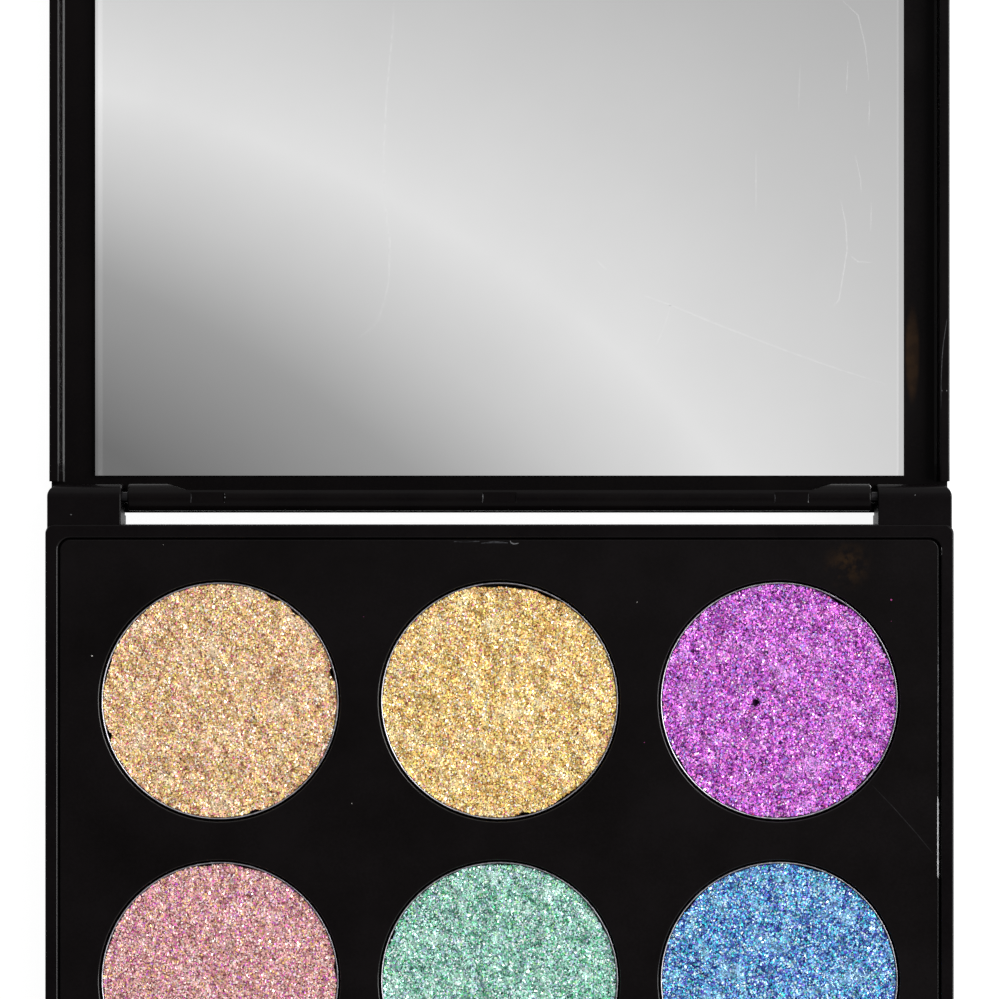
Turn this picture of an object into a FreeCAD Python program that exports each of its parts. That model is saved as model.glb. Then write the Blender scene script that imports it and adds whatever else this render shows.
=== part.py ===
import FreeCAD, Part
import math
import os

import Sketcher
from FreeCAD import Vector

# Eyeshadow palette: a moulded base with a well tray and six filled pans, and a lid with a mirror on two hinge
# pins. The frame has its origin in the middle of the face that the base rests on, +X to the right, +Y to the
# hinge and +Z up. The lid is drawn laid open, flat on the same surface as the base.

# Driving sizes in millimetres.
SIZES = {
    # Round metal pans, the pressed cakes in them and the glue under them
    "pan_diameter": 26.0,
    "pan_height": 4.4,
    "pan_wall": 0.3,
    "pan_corner": 0.6,
    "pan_spacing": 4.7,
    "pan_recess": 0.25,
    "cake_gap": 0.05,
    "cake_recess": 0.2,
    "cake_crown": 0.2,
    "glue_diameter": 10.0,
    "glue_thickness": 0.2,
    # Well tray
    "side_margin": 4.6,
    "end_margin": 4.8,
    "tray_face": 1.2,
    "tray_corner": 1.2,
    "tray_edge": 0.25,
    "tray_recess": 0.45,
    "tray_gap": 0.12,
    "skirt_wall": 1.0,
    "tray_rib": 0.8,
    "well_gap": 0.25,
    "well_wall": 0.9,
    "well_floor": 0.9,
    "well_edge": 0.15,
    "snap_length": 20.0,
    "snap_radius": 0.3,
    "snap_height": 2.4,
    "snap_gap": 0.1,
    # Base shell
    "base_floor": 1.3,
    "side_wall": 1.4,
    "rear_wall": 1.45,
    "front_wall": 2.6,
    "front_corner": 1.4,
    "rear_corner": 1.0,
    "base_edge": 0.8,
    "rim_edge": 0.2,
    # Hinge: lugs on the base, a barrelled bar on the lid and a pin at each side
    "hinge_setback": 2.96,
    "lug_drop": 0.25,
    "lug_width": 8.1,
    "lug_inset": 0.18,
    "lug_corner": 1.3,
    "lug_edge": 0.15,
    "lug_relief": 0.05,
    "lug_floor": 2.0,
    "lug_gap": 0.7,
    "knuckle_length": 4.34,
    "knuckle_slope": 2.05,
    "bar_waist": 0.82,
    "bar_edge": 0.25,
    "flat_length": 3.7,
    "flat_depth": 0.12,
    "flat_offset": 0.55,
    "pin_diameter": 1.2,
    "pin_grip": 4.0,
    "pin_sink": 0.3,
    "pin_chamfer": 0.15,
    "press_gap": 0.01,
    "running_gap": 0.05,
    # Lid shell
    "parting_gap": 0.1,
    "lid_inset": 0.07,
    "lid_lug_gap": 0.3,
    "lid_floor": 1.3,
    "lid_wall": 1.1,
    "lid_corner": 1.4,
    "lid_edge": 1.0,
    "lid_fillet": 0.5,
    "lip_corner": 1.05,
    "lip_ledge": 0.2,
    # Front catch: a tab on the lid that clicks into a recess of the base
    "tab_width": 18.0,
    "tab_length": 3.0,
    "tab_edge": 0.3,
    "catch_gap": 0.3,
    "catch_floor": 1.8,
    "bead_radius": 0.45,
    "bead_drop": 1.8,
    # Mirror and the tape that holds it
    "mirror_setback": 2.44,
    "mirror_margin": 3.81,
    "mirror_thickness": 1.2,
    "mirror_bevel": 0.75,
    "mirror_recess": 1.29,
    "tape_thickness": 0.15,
    "tape_margin": 3.0,
}

# Places that follow from the driving sizes. Heights of the base and tray count from the rest face,
# and the lid's lengths count from the hinge axis.
LAYOUT = {
    "pitch": "=Sizes.pan_diameter + Sizes.pan_spacing",
    "pan_radius": "=Sizes.pan_diameter / 2",
    "cake_radius": "=pan_radius - Sizes.pan_wall - Sizes.cake_gap",
    "cake_height": "=Sizes.pan_height - Sizes.pan_wall - Sizes.cake_recess",
    "cake_chamfer": "=Sizes.pan_corner - Sizes.pan_wall + Sizes.cake_gap",
    "well_radius": "=pan_radius + Sizes.well_gap",
    "cup_radius": "=well_radius + Sizes.well_wall",
    "tray_half_width": "=pitch + pan_radius + Sizes.side_margin",
    "tray_half_depth": "=pitch / 2 + pan_radius + Sizes.end_margin",
    "tray_height": "=Sizes.well_floor + Sizes.glue_thickness + Sizes.pan_height + Sizes.pan_recess",
    "well_z": "=Sizes.base_floor + Sizes.well_floor",
    "pan_z": "=well_z + Sizes.glue_thickness",
    "base_height": "=Sizes.base_floor + tray_height + Sizes.tray_recess",
    "inside_half_width": "=tray_half_width + Sizes.tray_gap",
    "inside_half_depth": "=tray_half_depth + Sizes.tray_gap",
    "inside_corner": "=Sizes.tray_corner + Sizes.tray_gap",
    "base_half_width": "=inside_half_width + Sizes.side_wall",
    "base_front": "=inside_half_depth + Sizes.front_wall",
    "base_rear": "=inside_half_depth + Sizes.rear_wall",
    "hinge_y": "=base_rear + Sizes.hinge_setback",
    "lid_depth": "=Sizes.lid_floor + Sizes.tape_thickness + Sizes.mirror_thickness + Sizes.mirror_recess",
    "hinge_z": "=(base_height + Sizes.parting_gap + lid_depth) / 2",
    "barrel_top": "=base_height - Sizes.lug_drop",
    "barrel_radius": "=barrel_top - hinge_z",
    "lug_rear": "=hinge_y + barrel_radius - Sizes.lug_relief",
    "lug_outside": "=base_half_width - Sizes.lug_inset",
    "lug_inside": "=lug_outside - Sizes.lug_width",
    "bar_half": "=lug_inside - Sizes.lug_gap",
    "waist_half": "=bar_half - Sizes.knuckle_length - Sizes.knuckle_slope",
    "flat_x": "=waist_half - Sizes.flat_offset - Sizes.flat_length / 2",
    "lid_half_width": "=base_half_width - Sizes.lid_inset",
    "lid_rear": "=barrel_radius + Sizes.lid_lug_gap",
    "lid_front": "=hinge_y + base_front - Sizes.lid_inset",
    "lip_rear": "=-barrel_radius - Sizes.lip_ledge",
    "lid_inside": "=lid_half_width - Sizes.lid_wall",
    "mirror_half_width": "=lid_inside - Sizes.mirror_margin",
    "mirror_front": "=lid_front - Sizes.lid_wall - Sizes.mirror_margin",
    "mirror_height": "=mirror_front - Sizes.mirror_setback",
    "catch_half_width": "=Sizes.tab_width / 2 + Sizes.catch_gap",
    "catch_depth": "=Sizes.lid_inset + Sizes.lid_wall + Sizes.catch_gap",
    "catch_wall": "=base_front - catch_depth",
    "bead_z": "=lid_depth + Sizes.bead_drop",
    "bead_closed_z": "=2 * hinge_z - bead_z",
    "pin_outside": "=lug_outside - Sizes.pin_sink",
    "pin_inside": "=bar_half - Sizes.pin_grip",
}

TOLERANCE = 1e-4
COLUMNS = {"left": -1, "center": 0, "right": 1}
ROWS = {"back": 0.5, "front": -0.5}

doc = FreeCAD.newDocument("eyeshadow_palette")
pieces = []


def make_sheet(name, cells):
    sheet = doc.addObject("Spreadsheet::Sheet", name)
    for row, (alias, content) in enumerate(cells.items(), start=1):
        sheet.set(f"A{row}", alias)
        sheet.set(f"B{row}", str(content))
        sheet.setAlias(f"B{row}", alias)
    doc.recompute()
    return sheet


sizes = make_sheet("Sizes", SIZES)
make_sheet("Layout", LAYOUT)


def number(expression):
    value = sizes.evalExpression(expression)
    return float(getattr(value, "Value", value))


def new_body(label, y=None, z=None, x=None):
    body = doc.addObject("PartDesign::Body", label)
    body.Label = label
    place(body, x, y, z)
    pieces.append(body)
    return body


def place(piece, x=None, y=None, z=None):
    for axis, expression in (("x", x), ("y", y), ("z", z)):
        if expression:
            piece.setExpression(f"Placement.Base.{axis}", expression)


def origin_plane(body, role):
    return next(item for item in body.Origin.OriginFeatures if item.Role == role)


def new_sketch(body, label, role, offset=None):
    sketch = body.newObject("Sketcher::SketchObject", label)
    sketch.AttachmentSupport = [(origin_plane(body, role), "")]
    sketch.MapMode = "FlatFace"
    if offset:
        sketch.setExpression("AttachmentOffset.Base.z", offset)
    return sketch


def bind_distance(sketch, kind, geometry, end, expression):
    # Distance of a sketch point from the sketch origin, kept positive whichever side the point lies on.
    value = number(expression)
    if abs(value) < TOLERANCE:
        axis_line = -2 if kind == "DistanceX" else -1
        sketch.addConstraint(Sketcher.Constraint("PointOnObject", geometry, end, axis_line))
    elif value > 0:
        index = sketch.addConstraint(Sketcher.Constraint(kind, -1, 1, geometry, end, value))
        sketch.setExpression(f"Constraints[{index}]", expression)
    else:
        index = sketch.addConstraint(Sketcher.Constraint(kind, geometry, end, -1, 1, -value))
        sketch.setExpression(f"Constraints[{index}]", f"-({expression})")


def bind_point(sketch, geometry, end, point):
    bind_distance(sketch, "DistanceX", geometry, end, point[0])
    bind_distance(sketch, "DistanceY", geometry, end, point[1])


def bind_radius(sketch, geometry, expression):
    index = sketch.addConstraint(Sketcher.Constraint("Radius", geometry, number(expression)))
    sketch.setExpression(f"Constraints[{index}]", expression)


def vector(point):
    return Vector(number(point[0]), number(point[1]), 0)


def arc_between(start, end, centre, radius):
    # The short arc between two points, and whether it runs from end to start.
    first = math.atan2(start.y - centre.y, start.x - centre.x)
    last = math.atan2(end.y - centre.y, end.x - centre.x)
    backwards = (last - first) % (2 * math.pi) > math.pi
    if backwards:
        first, last = last, first
    circle = Part.Circle(centre, Vector(0, 0, 1), radius)
    return Part.ArcOfCircle(circle, first, last), backwards


def draw_outline(sketch, points, arcs=None):
    # A closed run of edges through points. arcs gives some edges, by number, a centre and a radius.
    arcs = arcs or {}
    ends = []
    for number_of_edge, point in enumerate(points):
        start = vector(point)
        end = vector(points[(number_of_edge + 1) % len(points)])
        backwards = False
        if number_of_edge in arcs:
            centre, radius = arcs[number_of_edge]
            edge, backwards = arc_between(start, end, vector(centre), number(radius))
        else:
            edge = Part.LineSegment(start, end)
        geometry = sketch.addGeometry(edge, False)
        ends.append((geometry, 2, 1) if backwards else (geometry, 1, 2))
    for number_of_edge, (geometry, start_end, last_end) in enumerate(ends):
        following, following_start, _ = ends[(number_of_edge + 1) % len(ends)]
        sketch.addConstraint(
            Sketcher.Constraint("Coincident", geometry, last_end, following, following_start))
        bind_point(sketch, geometry, start_end, points[number_of_edge])
    for number_of_edge, (centre, radius) in arcs.items():
        bind_radius(sketch, ends[number_of_edge][0], radius)


def draw_rectangle(sketch, left, right, bottom, top):
    draw_outline(sketch, [(left, bottom), (right, bottom), (right, top), (left, top)])


def draw_circle(sketch, centre, radius):
    geometry = sketch.addGeometry(Part.Circle(vector(centre), Vector(0, 0, 1), number(radius)), False)
    bind_point(sketch, geometry, 3, centre)
    bind_radius(sketch, geometry, radius)


def draw_well_circles(sketch, radius):
    for row in ROWS.values():
        for column in COLUMNS.values():
            draw_circle(sketch, (f"Layout.pitch * {column}", f"Layout.pitch * {row}"), radius)


def extrude(body, kind, label, sketch, length=None, symmetric=False):
    feature = body.newObject(f"PartDesign::{kind}", label)
    feature.Profile = sketch
    if symmetric:
        feature.SideType = "Symmetric"
    if length:
        feature.setExpression("Length", length)
    else:
        feature.Type = "ThroughAll"
    return feature


def pad(body, label, sketch, length, symmetric=False):
    return extrude(body, "Pad", label, sketch, length, symmetric)


def pocket(body, label, sketch, length=None, symmetric=False):
    # A cut that runs from the sketch against its normal, and has to take material away.
    doc.recompute()
    before = body.Shape.Volume
    feature = extrude(body, "Pocket", label, sketch, length, symmetric)
    doc.recompute()
    if body.Shape.Volume > before - TOLERANCE:
        raise ValueError(f"{body.Label}: {label} cuts nothing")
    return feature


def edge_feature(body, kind, label, size_name, size, chosen):
    doc.recompute()
    base = body.Tip
    names = [f"Edge{i}" for i, edge in enumerate(base.Shape.Edges, start=1) if chosen(edge.BoundBox)]
    feature = body.newObject(f"PartDesign::{kind}", label)
    feature.Base = (base, names)
    feature.setExpression(size_name, size)
    doc.recompute()
    return feature


def fillet(body, label, radius, chosen):
    return edge_feature(body, "Fillet", label, "Radius", radius, chosen)


def chamfer(body, label, size, chosen):
    return edge_feature(body, "Chamfer", label, "Size", size, chosen)


def near(first, second):
    return abs(first - second) < TOLERANCE


def is_upright(box):
    return box.XLength < TOLERANCE and box.YLength < TOLERANCE


def reach(box):
    # How far an edge or face lies from the middle plane, to the left or right.
    return max(abs(box.XMin), abs(box.XMax))


def is_level(box, height):
    return near(box.ZMin, height) and near(box.ZMax, height)


def make_base_shell():
    body = new_body("base_shell")
    sketch = new_sketch(body, "BaseOutline", "XY_Plane")
    draw_rectangle(sketch, "-Layout.base_half_width", "Layout.base_half_width",
                   "-Layout.base_front", "Layout.base_rear")
    pad(body, "BaseBlock", sketch, "Layout.base_height")
    fillet(body, "FrontCorners", "Sizes.front_corner", lambda box: is_upright(box) and box.YMin < 0)
    fillet(body, "RearCorners", "Sizes.rear_corner",
           lambda box: is_upright(box) and near(box.YMin, number("Layout.base_rear")))
    fillet(body, "FootEdge", "Sizes.base_edge", lambda box: is_level(box, 0))
    base_height = number("Layout.base_height")
    fillet(body, "RimEdge", "Sizes.rim_edge", lambda box: is_level(box, base_height))

    # Lugs behind the rear corners, with a nose round about the hinge axis and room below for the lid's lip
    sketch = new_sketch(body, "LugOutline", "XY_Plane", "Sizes.base_edge")
    for inner, outer in (("Layout.lug_inside", "Layout.lug_outside"),
                         ("-Layout.lug_outside", "-Layout.lug_inside")):
        draw_rectangle(sketch, inner, outer, "Layout.base_rear - Sizes.rear_corner", "Layout.lug_rear")
    pad(body, "Lugs", sketch, "Layout.barrel_top - Sizes.base_edge")
    lug_rear = number("Layout.lug_rear")
    lug_outside = number("Layout.lug_outside")
    fillet(body, "LugCorners", "Sizes.lug_corner",
           lambda box: is_upright(box) and near(box.YMin, lug_rear) and near(reach(box), lug_outside))
    sketch = new_sketch(body, "LugSide", "YZ_Plane")
    clear = "Sizes.hinge_setback"
    draw_outline(sketch, [
        ("Layout.hinge_y", "Layout.barrel_top"),
        ("Layout.hinge_y + Layout.barrel_radius", "Layout.hinge_z"),
        (f"Layout.lug_rear + {clear}", "Layout.hinge_z"),
        (f"Layout.lug_rear + {clear}", f"Layout.barrel_top + {clear}"),
        ("Layout.hinge_y", f"Layout.barrel_top + {clear}"),
    ], {0: (("Layout.hinge_y", "Layout.hinge_z"), "Layout.barrel_radius")})
    draw_rectangle(sketch, "Layout.hinge_y + Layout.lip_rear - Sizes.lid_lug_gap",
                   f"Layout.lug_rear + {clear}", "0", "Sizes.lug_floor")
    pocket(body, "LugSides", sketch, symmetric=True)
    lug_inside = number("Layout.lug_inside")
    base_rear = number("Layout.base_rear")
    hinge_z = number("Layout.hinge_z")
    fillet(body, "LugEdges", "Sizes.lug_edge",
           lambda box: box.XLength < TOLERANCE and box.YMax > base_rear + TOLERANCE
           and box.ZMax > hinge_z - TOLERANCE
           and (near(reach(box), lug_inside) or near(reach(box), lug_outside)))

    # Space for the tray, with a groove in each side wall that its snap ridges click into
    sketch = new_sketch(body, "InsideOutline", "XY_Plane", "Layout.base_height")
    draw_rectangle(sketch, "-Layout.inside_half_width", "Layout.inside_half_width",
                   "-Layout.inside_half_depth", "Layout.inside_half_depth")
    pocket(body, "Inside", sketch, "Layout.base_height - Sizes.base_floor")
    inside_half_width = number("Layout.inside_half_width")
    fillet(body, "InsideCorners", "Layout.inside_corner",
           lambda box: is_upright(box) and near(reach(box), inside_half_width))
    fillet(body, "InsideRimEdge", "Sizes.rim_edge",
           lambda box: is_level(box, base_height) and reach(box) < inside_half_width + TOLERANCE)
    sketch = new_sketch(body, "SnapGrooveEnds", "XZ_Plane")
    for side in ("Layout.tray_half_width", "-Layout.tray_half_width"):
        draw_circle(sketch, (side, "Sizes.base_floor + Sizes.snap_height"),
                    "Sizes.snap_radius + Sizes.snap_gap")
    pocket(body, "SnapGrooves", sketch, "Sizes.snap_length + 2 * Sizes.snap_gap", symmetric=True)

    # Recess in the front for the lid's tab, open below it for a fingertip
    sketch = new_sketch(body, "CatchOutline", "XY_Plane", "Layout.base_height")
    draw_rectangle(sketch, "-Layout.catch_half_width", "Layout.catch_half_width",
                   "-Layout.base_front - Sizes.front_wall", "-Layout.catch_wall")
    pocket(body, "CatchRecess", sketch, "Layout.base_height - Sizes.catch_floor")
    sketch = new_sketch(body, "BeadGrooveEnd", "YZ_Plane")
    draw_circle(sketch, ("-Layout.catch_wall - Sizes.catch_gap", "Layout.bead_closed_z"),
                "Sizes.bead_radius + Sizes.snap_gap")
    pocket(body, "BeadGroove", sketch, "Sizes.tab_width", symmetric=True)

    sketch = new_sketch(body, "PinHoleEnd", "YZ_Plane")
    draw_circle(sketch, ("Layout.hinge_y", "Layout.hinge_z"), "Sizes.pin_diameter / 2 + Sizes.press_gap")
    pocket(body, "PinHoles", sketch, symmetric=True)


def make_pan_tray():
    body = new_body("pan_tray", z="Sizes.base_floor")
    sketch = new_sketch(body, "TrayOutline", "XY_Plane")
    draw_rectangle(sketch, "-Layout.tray_half_width", "Layout.tray_half_width",
                   "-Layout.tray_half_depth", "Layout.tray_half_depth")
    pad(body, "TrayBlock", sketch, "Layout.tray_height")
    fillet(body, "TrayCorners", "Sizes.tray_corner", is_upright)

    # Hollow under the face, between the skirt and the cups of the wells
    sketch = new_sketch(body, "HollowOutline", "XY_Plane")
    hollow_x = "(Layout.tray_half_width - Sizes.skirt_wall)"
    hollow_y = "(Layout.tray_half_depth - Sizes.skirt_wall)"
    draw_rectangle(sketch, f"-{hollow_x}", hollow_x, f"-{hollow_y}", hollow_y)
    draw_well_circles(sketch, "Layout.cup_radius")
    hollow = extrude(body, "Pocket", "Hollow", sketch, "Layout.tray_height - Sizes.tray_face")
    hollow.Reversed = True

    # Stiffening ribs between the cups, from skirt to skirt
    rib = "Sizes.tray_rib / 2"
    sketch = new_sketch(body, "LongRibOutline", "XY_Plane")
    draw_rectangle(sketch, f"-{hollow_x}", hollow_x, f"-{rib}", rib)
    pad(body, "LongRib", sketch, "Layout.tray_height - Sizes.tray_face")
    sketch = new_sketch(body, "CrossRibOutlines", "XY_Plane")
    for middle in ("-Layout.pitch / 2", "Layout.pitch / 2"):
        draw_rectangle(sketch, f"{middle} - {rib}", f"{middle} + {rib}", f"-{hollow_y}", hollow_y)
    pad(body, "CrossRibs", sketch, "Layout.tray_height - Sizes.tray_face")

    sketch = new_sketch(body, "WellCircles", "XY_Plane", "Layout.tray_height")
    draw_well_circles(sketch, "Layout.well_radius")
    pocket(body, "Wells", sketch, "Layout.tray_height - Sizes.well_floor")
    tray_height = number("Layout.tray_height")
    well_span = 2 * number("Layout.well_radius")
    fillet(body, "WellEdges", "Sizes.well_edge",
           lambda box: is_level(box, tray_height) and near(box.XLength, well_span))
    fillet(body, "TrayEdge", "Sizes.tray_edge",
           lambda box: is_level(box, tray_height) and max(box.XLength, box.YLength) > well_span)

    sketch = new_sketch(body, "SnapRidgeEnds", "XZ_Plane")
    for side in ("Layout.tray_half_width", "-Layout.tray_half_width"):
        draw_circle(sketch, (side, "Sizes.snap_height"), "Sizes.snap_radius")
    pad(body, "SnapRidges", sketch, "Sizes.snap_length", symmetric=True)


def revolve(body, label, sketch):
    feature = body.newObject("PartDesign::Revolution", label)
    feature.Profile = sketch
    feature.ReferenceAxis = (sketch, ["V_Axis"])
    feature.Angle = 360.0


def make_pan(place_name, x, y):
    body = new_body(f"pan_{place_name}", x=x, y=y, z="Layout.pan_z")
    sketch = new_sketch(body, "PanProfile", "XZ_Plane")
    corner = "Layout.pan_radius - Sizes.pan_corner"
    inside = "Layout.pan_radius - Sizes.pan_wall"
    draw_outline(sketch, [
        ("0", "0"),
        (corner, "0"),
        ("Layout.pan_radius", "Sizes.pan_corner"),
        ("Layout.pan_radius", "Sizes.pan_height"),
        (inside, "Sizes.pan_height"),
        (inside, "Sizes.pan_corner"),
        (corner, "Sizes.pan_wall"),
        ("0", "Sizes.pan_wall"),
    ], {
        1: ((corner, "Sizes.pan_corner"), "Sizes.pan_corner"),
        5: ((corner, "Sizes.pan_corner"), "Sizes.pan_corner - Sizes.pan_wall"),
    })
    revolve(body, "PanCup", sketch)


def make_cake(place_name, x, y):
    body = new_body(f"shadow_{place_name}", x=x, y=y, z="Layout.pan_z + Sizes.pan_wall")
    sketch = new_sketch(body, "CakeProfile", "XZ_Plane")
    dome_radius = "((Layout.cake_radius ^ 2 + Sizes.cake_crown ^ 2) / (2 * Sizes.cake_crown))"
    top = "Layout.cake_height + Sizes.cake_crown"
    draw_outline(sketch, [
        ("0", "0"),
        ("Layout.cake_radius - Layout.cake_chamfer", "0"),
        ("Layout.cake_radius", "Layout.cake_chamfer"),
        ("Layout.cake_radius", "Layout.cake_height"),
        ("0", top),
    ], {3: (("0", f"{top} - {dome_radius}"), dome_radius)})
    revolve(body, "PressedCake", sketch)


def make_glue_dot(place_name, x, y):
    dot = doc.addObject("Part::Cylinder", f"glue_dot_{place_name}")
    dot.Label = f"glue_dot_{place_name}"
    dot.setExpression("Radius", "Sizes.glue_diameter / 2")
    dot.setExpression("Height", "Sizes.glue_thickness")
    place(dot, x, y, "Layout.well_z")
    pieces.append(dot)


def make_lid_shell():
    body = new_body("lid_shell", y="Layout.hinge_y")
    sketch = new_sketch(body, "LidOutline", "XY_Plane")
    draw_rectangle(sketch, "-Layout.lid_half_width", "Layout.lid_half_width",
                   "Layout.lip_rear", "Layout.lid_front")
    pad(body, "LidBlock", sketch, "Layout.lid_depth")
    lid_rear = number("Layout.lid_rear")
    fillet(body, "LidCorners", "Sizes.lid_corner", lambda box: is_upright(box) and box.YMin > lid_rear)

    # Shallow inside, open towards the lugs
    sketch = new_sketch(body, "LidInsideOutline", "XY_Plane", "Layout.lid_depth")
    draw_rectangle(sketch, "-Layout.lid_inside", "Layout.lid_inside",
                   "Layout.lip_rear - Sizes.lid_wall", "Layout.lid_front - Sizes.lid_wall")
    pocket(body, "LidInside", sketch, "Layout.lid_depth - Sizes.lid_floor")
    lid_depth = number("Layout.lid_depth")
    lid_floor = number("Sizes.lid_floor")
    inside_front = number("Layout.lid_front - Sizes.lid_wall")
    fillet(body, "InsideCorners", "Sizes.lid_wall",
           lambda box: is_upright(box) and near(box.YMin, inside_front))
    fillet(body, "FloorFillet", "Sizes.lid_fillet",
           lambda box: is_level(box, lid_floor) and box.YMax > lid_rear + TOLERANCE)

    # The walls end behind the lugs, and only the floor goes on below them as a lip
    sketch = new_sketch(body, "LipOutline", "XY_Plane", "Layout.lid_depth")
    draw_rectangle(sketch, "-Layout.base_half_width", "Layout.base_half_width",
                   "Layout.lip_rear - Sizes.lid_wall", "Layout.lid_rear")
    pocket(body, "Lip", sketch, "Layout.lid_depth - Sizes.lid_floor")
    fillet(body, "LipCorners", "Sizes.lip_corner",
           lambda box: is_upright(box) and box.YMax < lid_rear - TOLERANCE)
    fillet(body, "LidEdge", "Sizes.lid_edge", lambda box: is_level(box, 0))
    fillet(body, "LidRimEdges", "Sizes.rim_edge",
           lambda box: is_level(box, lid_depth) and box.YMax > lid_rear + TOLERANCE)

    # Hinge bar: the lid's rear wall, which ends in a barrel about the hinge axis
    sketch = new_sketch(body, "BarProfile", "YZ_Plane")
    barrel = "Layout.barrel_radius"
    axis = ("0", "Layout.hinge_z")
    draw_outline(sketch, [
        (f"-{barrel}", "Sizes.lid_floor"),
        (barrel, "Sizes.lid_floor"),
        (barrel, "Layout.hinge_z"),
        ("0", "Layout.barrel_top"),
        (f"-{barrel}", "Layout.hinge_z"),
    ], {2: (axis, barrel), 3: (axis, barrel)})
    pad(body, "HingeBar", sketch, "2 * Layout.bar_half", symmetric=True)

    # The bar is thinned between its end knuckles, and flats break the barrel beside them and in the middle
    sketch = new_sketch(body, "WaistOutline", "XY_Plane", "Layout.barrel_top")
    knuckle = "(Layout.waist_half + Sizes.knuckle_slope)"
    draw_outline(sketch, [
        ("-Layout.waist_half", "Sizes.bar_waist"),
        ("Layout.waist_half", "Sizes.bar_waist"),
        (knuckle, barrel),
        (knuckle, "Layout.lid_rear"),
        (f"-{knuckle}", "Layout.lid_rear"),
        (f"-{knuckle}", barrel),
    ])
    pocket(body, "Waist", sketch, "Layout.barrel_top - Sizes.lid_floor")
    sketch = new_sketch(body, "FlatOutlines", "XY_Plane", "Layout.barrel_top")
    for middle in ("-Layout.flat_x", "0 * Layout.flat_x", "Layout.flat_x"):
        draw_rectangle(sketch, f"{middle} - Sizes.flat_length / 2", f"{middle} + Sizes.flat_length / 2",
                       f"-{barrel}", barrel)
    pocket(body, "Flats", sketch, "Sizes.flat_depth")

    bar_half = number("Layout.bar_half")
    fillet(body, "BarEnds", "Sizes.bar_edge",
           lambda box: box.XLength < TOLERANCE and near(reach(box), bar_half)
           and box.ZMax > lid_floor + TOLERANCE)

    # Running holes for the pins in both ends of the bar
    sketch = new_sketch(body, "PinHoleEnd", "YZ_Plane", "Layout.bar_half")
    draw_circle(sketch, ("0", "Layout.hinge_z"), "Sizes.pin_diameter / 2 + Sizes.running_gap")
    hole = pocket(body, "PinHole", sketch, "Sizes.pin_grip + Sizes.pin_chamfer")
    both_holes = body.newObject("PartDesign::Mirrored", "PinHoles")
    both_holes.Originals = [hole]
    both_holes.MirrorPlane = (origin_plane(body, "YZ_Plane"), [""])
    body.Tip = both_holes

    # Catch tab on the front wall, with the bead that clicks into the base
    sketch = new_sketch(body, "TabOutline", "XY_Plane", "Layout.lid_depth - 2 * Sizes.rim_edge")
    draw_rectangle(sketch, "-Sizes.tab_width / 2", "Sizes.tab_width / 2",
                   "Layout.lid_front - Sizes.lid_wall", "Layout.lid_front")
    pad(body, "CatchTab", sketch, "Sizes.tab_length + 2 * Sizes.rim_edge")
    tab_top = number("Layout.lid_depth + Sizes.tab_length")
    fillet(body, "TabEdges", "Sizes.tab_edge", lambda box: is_level(box, tab_top))
    sketch = new_sketch(body, "BeadEnd", "YZ_Plane")
    draw_circle(sketch, ("Layout.lid_front - Sizes.lid_wall", "Layout.bead_z"), "Sizes.bead_radius")
    pad(body, "CatchBead", sketch, "Sizes.tab_width - 2 * Sizes.lid_wall", symmetric=True)


def make_mirror():
    body = new_body("mirror", y="Layout.hinge_y + Sizes.mirror_setback",
                    z="Sizes.lid_floor + Sizes.tape_thickness")
    sketch = new_sketch(body, "GlassOutline", "XY_Plane")
    draw_rectangle(sketch, "-Layout.mirror_half_width", "Layout.mirror_half_width",
                   "0", "Layout.mirror_height")
    pad(body, "Glass", sketch, "Sizes.mirror_thickness")
    face_height = number("Sizes.mirror_thickness")
    chamfer(body, "Bevel", "Sizes.mirror_bevel", lambda box: is_level(box, face_height))


def make_mirror_tape():
    tape = doc.addObject("Part::Box", "mirror_tape")
    tape.Label = "mirror_tape"
    tape.setExpression("Length", "2 * (Layout.mirror_half_width - Sizes.tape_margin)")
    tape.setExpression("Width", "Layout.mirror_height - 2 * Sizes.tape_margin")
    tape.setExpression("Height", "Sizes.tape_thickness")
    place(tape, "Sizes.tape_margin - Layout.mirror_half_width",
          "Layout.hinge_y + Sizes.mirror_setback + Sizes.tape_margin", "Sizes.lid_floor")
    pieces.append(tape)


def make_hinge_pin(side, x):
    body = new_body(f"hinge_pin_{side}", x=x, y="Layout.hinge_y", z="Layout.hinge_z")
    sketch = new_sketch(body, "PinEnd", "YZ_Plane")
    draw_circle(sketch, ("0", "0"), "Sizes.pin_diameter / 2")
    pad(body, "Pin", sketch, "Layout.pin_outside - Layout.pin_inside")
    chamfer(body, "PinChamfers", "Sizes.pin_chamfer", lambda box: box.XLength < TOLERANCE)


def check_document():
    failed = [item.Name for item in doc.Objects if {"Invalid", "Error"} & set(item.State)]
    for piece in pieces:
        if piece.Shape.isNull() or not piece.Shape.isValid() or len(piece.Shape.Solids) != 1:
            failed.append(piece.Label)
    if failed:
        raise RuntimeError("failed: " + ", ".join(failed))


def main():
    make_base_shell()
    make_pan_tray()
    for row_name, row in ROWS.items():
        for column_name, column in COLUMNS.items():
            name = f"{row_name}_{column_name}"
            centre = (f"Layout.pitch * {column}", f"Layout.pitch * {row}")
            make_pan(name, *centre)
            make_cake(name, *centre)
            make_glue_dot(name, *centre)
    make_lid_shell()
    make_mirror()
    make_mirror_tape()
    make_hinge_pin("left", "-Layout.pin_outside")
    make_hinge_pin("right", "Layout.pin_inside")
    doc.recompute()
    check_document()
    os.makedirs("parts", exist_ok=True)
    for piece in pieces:
        piece.Shape.exportStep(f"parts/{piece.Label}.step")
        print(piece.Label, round(piece.Shape.Volume, 1))


main()
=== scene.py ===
import math

import bpy
import numpy as np
from mathutils import Matrix, Vector, noise
from mathutils.bvhtree import BVHTree


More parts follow.
